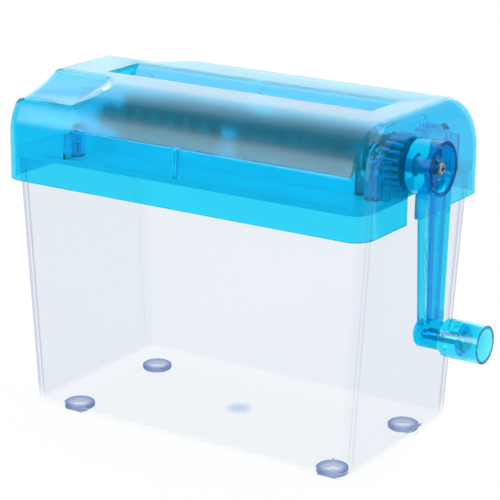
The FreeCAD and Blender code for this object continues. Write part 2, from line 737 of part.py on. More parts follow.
def crank():
    y, z = front_y, shaft_height
    cup = turned("HubCup", [(crank_inner, shaft_radius + seat_gap), (shaft_seat_end, shaft_radius + seat_gap),
                            (shaft_seat_end, screw_radius + seat_gap), (boss_end, screw_radius + seat_gap),
                            (boss_end, boss_radius), (crank_inner + hub_floor, boss_radius),
                            (crank_inner + hub_floor, hub_ring_radius - hub_wall),
                            (crank_outer, hub_ring_radius - hub_wall), (crank_outer, hub_ring_radius),
                            (crank_inner, hub_ring_radius)])
    place(cup, 0, y, z)
    neck_start = gear_left + gear_face + 0.3
    neck = turned("HubNeck", ring(neck_start, crank_inner, shaft_radius + seat_gap, shaft_radius + 1.0))
    place(neck, 0, y, z)
    pieces = [cup, neck]
    for number, angle in enumerate((90, 210, 330)):
        rib = doc.addObject("Part::Box", f"HubRib{number}")
        bind(rib, "Length", hub_depth - hub_floor - 0.6)
        bind(rib, "Width", rib_thickness)
        bind(rib, "Height", hub_ring_radius - boss_radius - hub_wall + 0.8)
        rib.Placement.Rotation = FreeCAD.Rotation(FreeCAD.Vector(1, 0, 0), angle - 90)
        turn = math.radians(angle - 90)
        out = boss_radius - 0.4
        place(rib, crank_inner + hub_floor, y - out * math.sin(turn) - rib_thickness * (math.cos(turn) / 2),
              z + out * math.cos(turn) - rib_thickness * (math.sin(turn) / 2))
        pieces.append(rib)
    arm = new_body("ArmPlate")
    face = new_sketch(arm, "YZ_Plane", "ArmFace", arm_outer - arm_thickness)
    wide, narrow = hub_ring_radius - 0.4, arm_foot_width / 2
    top, bottom = z - hub_ring_radius / 4, crank_height + foot_boss_radius - 1
    end, tip = foot_boss_radius - 0.5, crank_height
    outline(face, [(y - end, tip), (y + end, tip), (y + narrow, bottom), (y + wide, top), (y - wide, top),
                   (y - narrow, bottom)])
    pad(arm, face, arm_thickness, "ArmBlank")
    channel = new_sketch(arm, "YZ_Plane", "ArmChannels", arm_outer - arm_thickness)
    for side in (-1, 1):
        low = [(y + (arm_rib / 2) * side, bottom), (y + (narrow - arm_rib) * side, bottom)]
        high = [(y + (wide - arm_rib) * side, top), (y + (arm_rib / 2) * side, top)]
        corners = low + high
        outline(channel, corners if side > 0 else list(reversed(corners)))
    pocket(arm, channel, arm_thickness - arm_web, "ArmChannelCut")
    room = rod("HubRoom", hub_ring_radius - hub_wall / 2, hub_depth + 8, crank_inner - 4, y, z, along_x=True)
    foot_room = rod("FootRoom", foot_boss_radius - 1, hub_depth + 8, crank_inner - 4, y, crank_height, along_x=True)
    pieces.append(cut("Arm", arm, fused("ArmRoom", [room, foot_room])))
    boss = turned("FootBoss", [(foot_inner, 0), (foot_outer, 0), (foot_outer, foot_boss_radius),
                               (foot_inner + 1, foot_boss_radius), (foot_inner, foot_boss_radius - 1)])
    place(boss, 0, y, crank_height)
    whole = fused("CrankWhole", pieces + [boss])
    pin_hole = rod("PinHole", pin_radius + seat_gap, hub_depth, foot_inner + 3, y, crank_height, along_x=True)
    keep(cut("Crank", whole, pin_hole), "crank_arm")


crank()

# Crank screw in the shaft's end, and the pin that the grip turns on
head = boss_end + screw_head_height
keep(turned("CrankScrew", [(shaft_seat_end - screw_length + 2, 0), (head, 0), (head, screw_head_radius),
                           (boss_end, screw_head_radius), (boss_end, screw_radius),
                           (shaft_seat_end - screw_length + 2, screw_radius)]),
     "crank_screw", front_y, shaft_height)
partition = grip_inner + grip_sleeve
pin_head_start = partition + disc_gap
keep(turned("GripPin", [(foot_inner + 3.5, 0), (pin_head_start + pin_head_height, 0),
                        (pin_head_start + pin_head_height, pin_head_radius), (pin_head_start, pin_head_radius),
                        (pin_head_start, pin_radius), (foot_inner + 3.5, pin_radius)]),
     "grip_pin", front_y, crank_height)
inside_radius = grip_radius - grip_wall
keep(turned("Grip", [(grip_inner, pin_radius + running_gap), (partition, pin_radius + running_gap),
                     (partition, inside_radius), (grip_end, inside_radius), (grip_end, grip_radius),
                     (grip_inner + 1.2, grip_radius), (grip_inner, grip_radius - 1.2)]),
     "crank_grip", front_y, crank_height)


# Screws from below: long ones into the cover's posts, short ones into the bearing plates

def screw(name, x, y, radius, head_radius):
    under = tray_underside - screw_head_height
    piece = turned(name, [(0, under), (head_radius - 0.5, under), (head_radius, tray_underside - 0.7),
                          (head_radius, tray_underside), (radius, tray_underside),
                          (radius, tray_underside + screw_length), (0, tray_underside + screw_length)], "V_Axis")
    place(piece, x, y)
    return piece


tray_screws, plate_screws = [], []
for side_x in (-1, 1):
    for side_y in (-1, 1):
        tag = f"{side_x + 1}{side_y + 1}"
        corner = (post_x, post_y) if side_x > 0 else (low_post_x, low_post_y)
        tray_screws.append(screw("TrayScrew" + tag, corner[0], corner[1] * side_y, screw_radius,
                                 screw_head_radius))
        plate_x = (left_plate if side_x < 0 else right_plate) + plate_thickness / 2
        plate_screws.append(screw("PlateScrew" + tag, plate_x, plate_screw_y * side_y, plate_screw_radius,
                                  plate_screw_radius + 1))
keep(group("TrayScrews", tray_screws), "tray_screws")
keep(group("PlateScrews", plate_screws), "plate_screws")


# Bin: a tapered clear tub with an upright rim band inside the head's skirt

def tub(name, offset, low, top):
    base = new_body(name + "Base")
    bend = bin_edge - offset
    levels = []
    for number, angle in enumerate((0, 22.5, 45, 67.5, 90)):
        inset = offset + bend * (1 - math.sin(math.radians(angle)))
        rise = bend * (1 - math.cos(math.radians(angle)))
        level = new_sketch(base, "XY_Plane", f"{name}Level{number}", low + rise)
        rounded_rectangle(level, bin_base_length - inset * 2, bin_base_depth - inset * 2, bin_corner - inset)
        levels.append(level)
    mouth = new_sketch(base, "XY_Plane", name + "Mouth", skirt_bottom)
    rounded_rectangle(mouth, bin_top_length - offset * 2, bin_top_depth - offset * 2, bin_corner - offset)
    loft = base.newObject("PartDesign::AdditiveLoft", name + "Loft")
    loft.Profile = levels[0]
    loft.Sections = levels[1:] + [mouth]
    loft.Ruled = True
    band = new_sketch(base, "XY_Plane", name + "BandPlan", skirt_bottom)
    rounded_rectangle(band, bin_top_length - offset * 2, bin_top_depth - offset * 2, bin_corner - offset)
    pad(base, band, top - skirt_bottom, name + "Band")
    return base


bin_outside = tub("BinOutside", as_size(0), foot_height, bin_rim)
bin_inside = tub("BinInside", bin_wall, foot_height + bin_floor, bin_rim + 3)
gate = rod("BinGate", gate_radius, gate_depth, 0, 0, foot_height)
keep(cut("Bin", bin_outside, fused("BinHollow", [bin_inside, gate])), "waste_bin")

feet = []
for side_x in (-1, 1):
    for side_y in (-1, 1):
        foot = turned(f"Foot{side_x + 1}{side_y + 1}",
                      [(0, 0), (foot_radius - foot_edge, 0), (foot_radius, foot_edge),
                       (foot_radius, foot_height - foot_edge), (foot_radius - foot_edge, foot_height),
                       (0, foot_height)], "V_Axis")
        place(foot, foot_spacing_long / 2 * side_x, foot_spacing_deep / 2 * side_y)
        feet.append(foot)
keep(group("Feet", feet), "bin_feet")

doc.recompute()
failed = []
for thing in doc.Objects:
    if "Invalid" in thing.State or "Error" in thing.State:
        failed.append(thing.Name)
if failed:
    raise RuntimeError(f"Failed: {failed}")
for node in nodes:
    if node.Shape.isNull() or not node.Shape.isValid():
        raise RuntimeError(f"{node.Label} has no valid shape")
os.makedirs("parts", exist_ok=True)
for node in nodes:
    node.Shape.exportStep(f"parts/{node.Label}.step")
    bounds = node.Shape.BoundBox
    print(f"{node.Label:24s} solids {len(node.Shape.Solids)} volume {node.Shape.Volume:10.1f}"
          f" x {bounds.XMin:7.1f} {bounds.XMax:7.1f} y {bounds.YMin:6.1f} {bounds.YMax:6.1f}"
          f" z {bounds.ZMin:6.1f} {bounds.ZMax:6.1f}")
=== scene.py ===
import json
import math

import bmesh
import bpy
from mathutils import Matrix, Vector


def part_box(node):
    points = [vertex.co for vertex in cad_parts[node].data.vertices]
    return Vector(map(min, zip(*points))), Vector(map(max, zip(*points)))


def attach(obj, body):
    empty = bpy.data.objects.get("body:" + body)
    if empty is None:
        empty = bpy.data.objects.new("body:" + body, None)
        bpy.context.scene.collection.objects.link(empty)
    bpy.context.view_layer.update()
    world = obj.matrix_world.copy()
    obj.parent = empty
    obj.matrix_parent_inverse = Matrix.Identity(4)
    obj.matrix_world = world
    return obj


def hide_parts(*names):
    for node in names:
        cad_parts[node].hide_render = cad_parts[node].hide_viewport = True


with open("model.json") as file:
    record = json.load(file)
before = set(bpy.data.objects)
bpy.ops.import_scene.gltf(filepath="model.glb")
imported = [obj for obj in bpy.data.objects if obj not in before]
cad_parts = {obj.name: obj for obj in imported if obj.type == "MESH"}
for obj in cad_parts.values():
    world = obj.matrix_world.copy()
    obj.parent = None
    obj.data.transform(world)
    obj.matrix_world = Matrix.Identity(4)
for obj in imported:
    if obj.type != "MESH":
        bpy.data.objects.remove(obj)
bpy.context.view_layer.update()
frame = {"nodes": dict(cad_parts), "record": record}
nodes = frame["nodes"]
scene = bpy.context.scene
print("frame loaded:", len(nodes), "nodes")

headShift = -0.01625  # the head's middle, left of the part's origin
shaftAxis = (-0.010, 0.124)  # the drive shaft's place in depth and height


class Sock:
    # a shader socket that can be used in plain arithmetic
    def __init__(self, finish, socket):
        self.finish = finish
        self.socket = socket

    def calc(self, operation, first, second):
        return self.finish.node("ShaderNodeMath", {"operation": operation}, {0: first, 1: second})[0]

    def __add__(self, other):
        return self.calc("ADD", self, other)

    def __radd__(self, other):
        return self.calc("ADD", other, self)

    def __sub__(self, other):
        return self.calc("SUBTRACT", self, other)

    def __rsub__(self, other):
        return self.calc("SUBTRACT", other, self)

    def __mul__(self, other):
        return self.calc("MULTIPLY", self, other)

    def __rmul__(self, other):
        return self.calc("MULTIPLY", other, self)

    def step(self, low, high):
        # 0 below low, 1 above high, smooth between them
        return self.finish.node("ShaderNodeMapRange", {"interpolation_type": "SMOOTHSTEP"},
                                {"Value": self, "From Min": low, "From Max": high})[0]


class NodeOut:
    # a node whose outputs are taken by number or name
    def __init__(self, finish, node):
        self.finish = finish
        self.node = node

    def __getitem__(self, key):
        return Sock(self.finish, self.node.outputs[key])


class Finish:
    # one material and the nodes in it
    def __init__(self, name, tree=None):
        if tree is None:
            self.material = bpy.data.materials.new(name)
            self.material.use_nodes = True
            tree = self.material.node_tree
        self.tree = tree
        tree.nodes.clear()

    def node(self, kind, settings=None, sockets=None):
        made = self.tree.nodes.new(kind)
        for key, value in (settings or {}).items():
            setattr(made, key, value)
        for key, value in (sockets or {}).items():
            if isinstance(value, Sock):
                self.tree.links.new(value.socket, made.inputs[key])
            else:
                made.inputs[key].default_value = value
        return NodeOut(self, made)

    def place(self):
        # where a point is, in metres from the part's origin
        split = self.node("ShaderNodeSeparateXYZ", {}, {0: self.node("ShaderNodeTexCoord")["Object"]})
        return split[0], split[1], split[2]

    def noise(self, scale, detail):
        point = self.node("ShaderNodeTexCoord")["Object"]
        return self.node("ShaderNodeTexNoise", {}, {"Vector": point, "Scale": scale, "Detail": detail})[0]

    def size(self, value):
        return self.node("ShaderNodeMath", {"operation": "ABSOLUTE"}, {0: value})[0]

    def sign(self, value):
        return self.node("ShaderNodeMath", {"operation": "SIGN"}, {0: value})[0]

    def larger(self, first, second):
        return self.node("ShaderNodeMath", {"operation": "MAXIMUM"}, {0: first, 1: second})[0]

    def reach(self, first, second):
        # how far off an axis a point is, from its two offsets
        return self.node("ShaderNodeMath", {"operation": "SQRT"}, {0: first * first + second * second})[0]

    def mix(self, factor, first, second):
        return self.node("ShaderNodeMix", {"data_type": "RGBA"}, {0: factor, 6: first, 7: second})[2]

    def bump(self, height, strength, distance):
        sockets = {"Height": height, "Strength": strength, "Distance": distance}
        return self.node("ShaderNodeBump", {}, sockets)[0]

    def shader(self, sockets):
        return self.node("ShaderNodeBsdfPrincipled", {}, sockets)

    def surface(self, sockets):
        self.node("ShaderNodeOutputMaterial", {}, {"Surface": self.shader(sockets)[0]})
        return self.material

    def blend(self, factor, first, second):
        mixed = self.node("ShaderNodeMixShader", {}, {0: factor, 1: first[0], 2: second[0]})
        self.node("ShaderNodeOutputMaterial", {}, {"Surface": mixed[0]})
        return self.material


def rgb(red, green, blue):
    return (red, green, blue, 1.0)


white = rgb(1.0, 1.0, 1.0)

# in the looks, a pair of levels, reaches or radii is where a change starts and where it is done;
# a noise is its scale and detail, and a bump its strength and distance

# cover: clear blue, satin outside on the rounded top, half satin in the scoops, polished on the walls
coverLook = {
    "tint": rgb(0.042, 0.75, 0.975),
    "deepTint": rgb(0.030, 0.71, 0.965),
    "cloud": (14.0, 2.0),
    "polish": 0.03,
    "through": 0.94,
    "ior": 1.29,
    "flatHalf": 0.0244,  # half the depth of the flat top
    "humpLevel": 0.1194,  # where the rounding starts
    "skinRadius": (0.0219, 0.0223),  # between the inside and the outside of the rounding
    "satinRoughness": 0.27,
    "satinLevel": (0.1256, 0.1262),  # the satin stops on this line
    "leftFade": (-0.060, -0.046),  # left of here it fades out slowly
    "leftLevel": (0.1194, 0.1274),
    "leftShare": 0.8,
    "flatLevel": (0.1392, 0.1412),
    "satinEnd": (0.0770, 0.0840),
    "scoopRoughness": 0.14,
    "scoopEnd": (-0.052, -0.046),
    "scoopLand": (0.0160, 0.0166),
    "scoopRadius": (0.0226, 0.0229),
    "grain": (2600.0, 1.0),
    "grainDepth": 0.05,
    "bump": (0.10, 0.0002),
}


def coverFinish():
    look = coverLook
    f = Finish("coverBlue")
    x, y, z = f.place()
    head = x - headShift
    across, along = f.size(y), f.size(head)
    radius = f.reach(f.larger(across - look["flatHalf"], 0.0), f.larger(z - look["humpLevel"], 0.0))
    right = head.step(*look["leftFade"])
    onTop = z.step(*look["satinLevel"]) * right + z.step(*look["leftLevel"]) * (1 - right) * look["leftShare"]
    onTop = f.larger(onTop, z.step(*look["flatLevel"]))
    outside = radius.step(*look["skinRadius"])
    notEnd = 1 - along.step(*look["satinEnd"])
    inScoop = (1 - head.step(*look["scoopEnd"])) * across.step(*look["scoopLand"])
    inScoop = inScoop * (1 - radius.step(*look["scoopRadius"]))
    satin = onTop * outside * notEnd * (1 - inScoop)
    grain = f.noise(*look["grain"])
    roughness = satin * (look["satinRoughness"] - look["polish"]) + look["polish"]
    roughness = roughness + grain * satin * look["grainDepth"] + inScoop * look["scoopRoughness"]
    colour = f.mix(f.noise(*look["cloud"]), look["tint"], look["deepTint"])
    return f.surface({"Base Color": colour, "Roughness": roughness, "IOR": look["ior"],
                      "Transmission Weight": look["through"], "Normal": f.bump(grain * satin, *look["bump"])})


# bin: clear, with hardly a gloss on the rounded corners and painted lilac shade where they are seen edge on
binLook = {
    "tint": rgb(0.912, 0.932, 0.961),
    "deepTint": rgb(0.902, 0.924, 0.958),
    "endTint": rgb(0.86, 0.895, 0.93),
    "endReach": (-0.0035, -0.0025),
    "floorTint": rgb(0.985, 0.988, 0.995),
    "floorLevel": (0.0045, 0.0060),
    "gateTint": rgb(0.62, 0.72, 0.88),
    "gateRadius": (0.0024, 0.0066),
    "edgeTint": rgb(0.64, 0.66, 0.78),
    "edgeBlend": 0.5,
    "edgeFacing": (0.28, 0.56),
    "edgeLevel": (0.0064, 0.0120),  # the painted shade fades out on the bend to the floor
    "baseHalf": (0.0763, 0.0422),  # half length and half depth at the foot
    "lean": (0.0556, 0.0065),  # how much they grow with height
    "foot": 0.0026,
    "cornerRadius": 0.006,
    "cornerReach": (-0.0068, -0.0056),
    "bendLevel": (0.0066, 0.0078),
    "through": 1.0,
    "ior": 1.06,
    "bendIor": 1.01,  # on the corners and the bend to the floor
    "polish": 0.02,
    "flow": (22.0, 2.0),
    "flowDepth": 0.02,
    "fine": (500.0, 1.0),
    "bump": (0.02, 0.0001),
}


def binFinish():
    look = binLook
    f = Finish("binClear")
    x, y, z = f.place()
    middle = x - headShift
    rise = z - look["foot"]
    endGap = f.size(middle) - (rise * look["lean"][0] + look["baseHalf"][0])
    sideGap = f.size(y) - (rise * look["lean"][1] + look["baseHalf"][1])
    corner = endGap.step(*look["cornerReach"]) * sideGap.step(*look["cornerReach"])
    bends = f.larger(corner, 1 - z.step(*look["bendLevel"]))
    outX = f.larger(endGap + look["cornerRadius"], 0.0) * f.sign(middle)  # the way that the rounding faces
    outY = f.larger(sideGap + look["cornerRadius"], 0.0) * f.sign(y)
    out = f.node("ShaderNodeCombineXYZ", {}, {0: outX, 1: outY})[0]
    out = f.node("ShaderNodeVectorMath", {"operation": "NORMALIZE"}, {0: out})[0]
    facing = f.node("ShaderNodeLayerWeight", {}, {"Blend": look["edgeBlend"], "Normal": out})["Facing"]
    # painted lilac shade on the rounded corners, strongest where they are seen edge on
    edge = corner * facing.step(*look["edgeFacing"]) * z.step(*look["edgeLevel"])
    gate = 1 - f.reach(middle, y).step(*look["gateRadius"])
    flow = f.noise(*look["flow"])
    colour = f.mix(flow, look["tint"], look["deepTint"])
    colour = f.mix(endGap.step(*look["endReach"]), colour, look["endTint"])
    colour = f.mix(z.step(*look["floorLevel"]), look["floorTint"], colour)
    colour = f.mix(gate, f.mix(edge, colour, look["edgeTint"]), look["gateTint"])
    sockets = {"Base Color": colour, "Roughness": flow * look["flowDepth"] + look["polish"],
               "Transmission Weight": look["through"],
               "Normal": f.bump(f.noise(*look["fine"]), *look["bump"])}
    wall = f.shader({**sockets, "IOR": look["ior"]})
    bend = f.shader({**sockets, "IOR": look["bendIor"]})
    return f.blend(bends, wall, bend)


# feet: clear soft plastic, with a painted highlight in the middle and painted slate blue shade at the outer
# edge
footLook = {
    "middle": rgb(0.95, 0.97, 1.0),
    "rim": rgb(0.22, 0.31, 0.58),
    "rimStart": 0.0020,
    "radius": 0.00645,
    "spacing": (0.125, 0.056),
    "roughness": 0.14,
    "through": 0.92,
    "ior": 1.12,
    "dust": (160.0, 2.0),
    "dustDepth": 0.12,
    "bump": (0.04, 0.0002),
}


def footFinish():
    look = footLook
    f = Finish("footClear")
    x, y = f.place()[:2]
    radius = f.reach(f.size(x - headShift) - look["spacing"][0] / 2, f.size(y) - look["spacing"][1] / 2)
    dust = f.noise(*look["dust"])
    # painted highlight in the middle, painted slate blue shade towards the outer edge
    colour = f.mix(radius.step(look["rimStart"], look["radius"]), look["middle"], look["rim"])
    return f.surface({"Base Color": colour, "Roughness": dust * look["dustDepth"] + look["roughness"],
                      "IOR": look["ior"], "Transmission Weight": look["through"],
                      "Normal": f.bump(dust, *look["bump"])})


# tray: frosted up to a line on its guard walls and clear above it
trayLook = {
    "tint": rgb(0.03, 0.95, 0.98),
    "deepTint": rgb(0.02, 0.91, 0.97),
    "frost": 0.20,
    "through": 0.25,
    "ior": 1.30,
    "clearLevel": (0.1188, 0.1194),
    "clearTint": rgb(0.60, 0.92, 0.99),
    "clearPolish": 0.05,
    "clearThrough": 1.0,
    "clearIor": 1.08,
    "flow": (22.0, 2.0),
    "flowDepth": 0.03,
    "fine": (700.0, 1.0),
    "bump": (0.02, 0.0001),
}


def trayFinish():
    look = trayLook
    f = Finish("trayBlue")
    z = f.place()[2]
    flow = f.noise(*look["flow"])
    bump = f.bump(f.noise(*look["fine"]), *look["bump"])
    frosted = f.shader({"Base Color": f.mix(flow, look["tint"], look["deepTint"]),
                        "Roughness": flow * look["flowDepth"] + look["frost"], "IOR": look["ior"],
                        "Transmission Weight": look["through"], "Normal": bump})
    clear = f.shader({"Base Color": look["clearTint"], "Roughness": look["clearPolish"],
                      "IOR": look["clearIor"], "Transmission Weight": look["clearThrough"], "Normal": bump})
    return f.blend(z.step(*look["clearLevel"]), frosted, clear)


# gear: blue on the tooth tips, with painted shade between the teeth
gearLook = {
    "tip": rgb(0.01, 0.42, 0.80),
    "gap": rgb(0.002, 0.02, 0.07),
    "toothRadius": (0.0090, 0.0109),
    "polish": 0.22,
    "through": 0.10,
    "ior": 1.45,
    "wear": (160.0, 2.0),
    "wearDepth": 0.10,
    "bump": (0.03, 0.0001),
}


def gearFinish():
    look = gearLook
    f = Finish("gearBlue")
    y, z = f.place()[1:]
    radius = f.reach(y - shaftAxis[0], z - shaftAxis[1])
    wear = f.noise(*look["wear"])
    # painted shade between the teeth, blue on the tips
    colour = f.mix(radius.step(*look["toothRadius"]), look["gap"], look["tip"])
    return f.surface({"Base Color": colour, "Roughness": wear * look["wearDepth"] + look["polish"],
                      "IOR": look["ior"], "Transmission Weight": look["through"],
                      "Normal": f.bump(wear, *look["bump"])})


# crank: painted shade on the lip of the hub's cup, painted light along the arm's sides
crankLook = {
    "tint": rgb(0.004, 0.60, 0.90),
    "deepTint": rgb(0.003, 0.56, 0.88),
    "rim": rgb(0.001, 0.10, 0.34),
    "rimLevel": (0.0808, 0.0811),  # along the shaft
    "rimRadius": (0.0088, 0.0091),
    "hubRadius": (0.0107, 0.0111),
    "side": rgb(0.20, 0.88, 0.99),
    "sideReach": (-0.0005, -0.0002),
    "armFoot": (0.0655, 0.0665),
    "armTop": (0.1135, 0.1145),
    "armHalf": 0.0070,  # half the arm's width at its foot
    "armLean": 0.0558,  # how much it grows with height
    "polish": 0.05,
    "through": 0.92,
    "ior": 1.12,
    "flow": (22.0, 2.0),
    "flowDepth": 0.03,
    "fine": (700.0, 1.0),
    "bump": (0.02, 0.0001),
}


def crankFinish():
    look = crankLook
    f = Finish("crankBlue")
    x, y, z = f.place()
    across = y - shaftAxis[0]
    radius = f.reach(across, z - shaftAxis[1])
    # painted shade on the lip of the hub's cup
    rim = x.step(*look["rimLevel"]) * radius.step(*look["rimRadius"]) * (1 - radius.step(*look["hubRadius"]))
    half = (z - look["armFoot"][0]) * look["armLean"] + look["armHalf"]
    onArm = z.step(*look["armFoot"]) * (1 - z.step(*look["armTop"]))
    # painted light, paler along the arm's sides
    side = (f.size(across) - half).step(*look["sideReach"]) * onArm
    flow = f.noise(*look["flow"])
    colour = f.mix(side, f.mix(flow, look["tint"], look["deepTint"]), look["side"])
    colour = f.mix(rim, colour, look["rim"])
    return f.surface({"Base Color": colour, "Roughness": flow * look["flowDepth"] + look["polish"],
                      "IOR": look["ior"], "Transmission Weight": look["through"],
                      "Normal": f.bump(f.noise(*look["fine"]), *look["bump"])})


# grip: deep blue over the pin, painted light paler towards the open end, painted shade on the end's edge
gripLook = {
    "inner": rgb(0.025, 0.70, 0.94),
    "outer": rgb(0.16, 0.88, 1.0),
    "edge": rgb(0.01, 0.16, 0.30),
    "paleFrom": 0.45,  # share of the length
    "edgeDepth": 0.0003,
    "polish": 0.05,
    "through": 0.94,
    "ior": 1.30,
    "flow": (22.0, 2.0),
    "flowDepth": 0.03,
    "bump": (0.02, 0.0001),
}


def gripFinish():
    look = gripLook
    f = Finish("gripBlue")
    low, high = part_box("crank_grip")
    x = f.place()[0]
    flow = f.noise(*look["flow"])
    # painted light, paler towards the open end
    litShare = x.step(low.x + (high.x - low.x) * look["paleFrom"], high.x)
    colour = f.mix(litShare, look["inner"], look["outer"])
    # painted shade on the end's edge
    colour = f.mix(x.step(high.x - look["edgeDepth"], high.x), colour, look["edge"])
    return f.surface({"Base Color": colour, "Roughness": flow * look["flowDepth"] + look["polish"],
                      "IOR": look["ior"], "Transmission Weight": look["through"],
                      "Normal": f.bump(flow, *look["bump"])})


# plates, support, combs and second gear: nearly clear
frameLook = {
    "tint": rgb(0.55, 0.91, 0.99),
    "deepTint": rgb(0.50, 0.89, 0.99),
    "polish": 0.06,
    "through": 0.98,
    "ior": 1.10,
    "flow": (22.0, 2.0),
    "flowDepth": 0.03,
    "fine": (700.0, 1.0),
    "bump": (0.02, 0.0001),
}


def frameFinish():
    look = frameLook
    f = Finish("frameBlue")
    flow = f.noise(*look["flow"])
    colour = f.mix(flow, look["tint"], look["deepTint"])
    return f.surface({"Base Color": colour, "Roughness": flow * look["flowDepth"] + look["polish"],
                      "IOR": look["ior"], "Transmission Weight": look["through"],
                      "Normal": f.bump(f.noise(*look["fine"]), *look["bump"])})


# solid finishes, each with a little wear
solidLooks = {
    "cutterBlack": {"tint": rgb(0.008, 0.009, 0.030), "worn": rgb(0.02, 0.022, 0.055),
                    "roughness": 0.36, "metal": 0.0},
    "bushWhite": {"tint": rgb(0.80, 0.81, 0.82), "worn": rgb(0.70, 0.71, 0.72),
                  "roughness": 0.40, "metal": 0.0},
    "screwDull": {"tint": rgb(0.30, 0.33, 0.38), "worn": rgb(0.20, 0.22, 0.26),
                  "roughness": 0.42, "metal": 1.0},
    "steelBright": {"tint": rgb(0.62, 0.63, 0.65), "worn": rgb(0.48, 0.49, 0.51),
                    "roughness": 0.26, "metal": 1.0},
}
solidWear = {"wear": (90.0, 3.0), "wearDepth": 0.12, "fine": (1500.0, 2.0), "bump": (0.06, 0.0001)}


def solidFinish(name):
    look = solidLooks[name]
    f = Finish(name)
    wear = f.noise(*solidWear["wear"])
    colour = f.mix(wear, look["tint"], look["worn"])
    return f.surface({"Base Color": colour, "Roughness": wear * solidWear["wearDepth"] + look["roughness"],
                      "Metallic": look["metal"],
                      "Normal": f.bump(f.noise(*solidWear["fine"]), *solidWear["bump"])})


finishes = {"coverBlue": coverFinish(), "binClear": binFinish(), "footClear": footFinish(),
            "trayBlue": trayFinish(), "gearBlue": gearFinish(), "gripBlue": gripFinish(),
            "crankBlue": crankFinish(), "frameBlue": frameFinish()}
for name in solidLooks:
    finishes[name] = solidFinish(name)
print("finishes made:", len(finishes))

slotFinish = {"cover": "coverBlue", "tray": "trayBlue", "crank": "crankBlue", "gear": "gearBlue",
              "frame": "frameBlue", "cutter": "cutterBlack", "bush": "bushWhite", "steel": "steelBright",
              "bin": "binClear", "foot": "footClear"}
nodeFinish = {"crank_grip": "gripBlue", "crank_screw": "screwDull"}  # where a node differs from its slot
nodeSlot = {part["node"]: part["material_slot"] for part in frame["record"]["subparts"]}
bodies = frame["record"]["behaviour"]["bodies"]
nodeBody = {node: body for body, members in bodies.items() for node in members}
for node, slot in nodeSlot.items():
    mesh = nodes[node].data
    mesh.materials.clear()
    mesh.materials.append(finishes[nodeFinish.get(node, slotFinish[slot])])
print("nodes dressed")


def addPiece(name, mesh, node):
    # a finished mesh that stands for a node
    piece = bpy.data.objects.new(name, mesh)
    scene.collection.objects.link(piece)
    if not mesh.materials:
        mesh.materials.append(finishes[nodeFinish.get(node, slotFinish[nodeSlot[node]])])
    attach(piece, nodeBody[node])
    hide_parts(node)


def settled(work):
    # the evaluated shape of a working object as a plain mesh; the working object goes
    scene.collection.objects.link(work)
    graph = bpy.context.evaluated_depsgraph_get()
    mesh = bpy.data.meshes.new_from_object(work.evaluated_get(graph), depsgraph=graph)
    bpy.data.objects.remove(work)
    return mesh


def shapeMesh(name, shape):
    mesh = bpy.data.meshes.new(name)
    shape.to_mesh(mesh)
    shape.free()
    return mesh


# moulded and turned pieces: joined triangles, smooth over curves, flat on flats
smoothLook = {"join": 1e-6, "crease": math.radians(28.0)}
smoothNodes = ["top_cover", "waste_bin", "cutter_tray", "left_bearing_plate", "right_bearing_plate",
               "centre_support", "shaft_bushes", "drive_shaft", "idler_shaft", "front_left_cutters",
               "front_right_cutters", "rear_left_cutters", "rear_right_cutters", "drive_gear", "idler_gear",
               "crank_arm", "crank_grip", "grip_pin", "drive_shaft_clip", "idler_shaft_clip",
               "front_stripper_comb", "rear_stripper_comb"]


def smoothPiece(node):
    shape = bmesh.new()
    shape.from_mesh(nodes[node].data)
    bmesh.ops.remove_doubles(shape, verts=shape.verts, dist=smoothLook["join"])
    for face in shape.faces:
        face.smooth = True
    for edge in shape.edges:
        edge.smooth = len(edge.link_faces) == 2 and edge.calc_face_angle() < smoothLook["crease"]
    work = bpy.data.objects.new(node + "Work", shapeMesh(node + "Smooth", shape))
    flats = work.modifiers.new("flats", "WEIGHTED_NORMAL")
    flats.keep_sharp = True
    addPiece(node + "Shown", settled(work), node)


for node in smoothNodes:
    smoothPiece(node)
print("smooth pieces:", len(smoothNodes))


def turnedShape(profile, steps):
    # a closed shape turned about Z from (radius, height) points that start and end on the axis
    shape = bmesh.new()
    rings = []
    for radius, height in profile:
        if radius == 0:
            rings.append([shape.verts.new((0, 0, height))])
        else:
            turns = [2 * math.pi * k / steps for k in range(steps)]
            rings.append([shape.verts.new((radius * math.cos(t), radius * math.sin(t), height))
                          for t in turns])
    for low, high in zip(rings, rings[1:]):
        for k in range(steps):
            n = (k + 1) % steps
            corners = [low[k % len(low)], low[n % len(low)], high[n % len(high)], high[k % len(high)]]
            shape.faces.new(list(dict.fromkeys(corners)))
    bmesh.ops.recalc_face_normals(shape, faces=shape.faces)
    for face in shape.faces:
        face.smooth = True
    for edge in shape.edges:
        edge.smooth = edge.calc_face_angle() < smoothLook["crease"]
    return shape


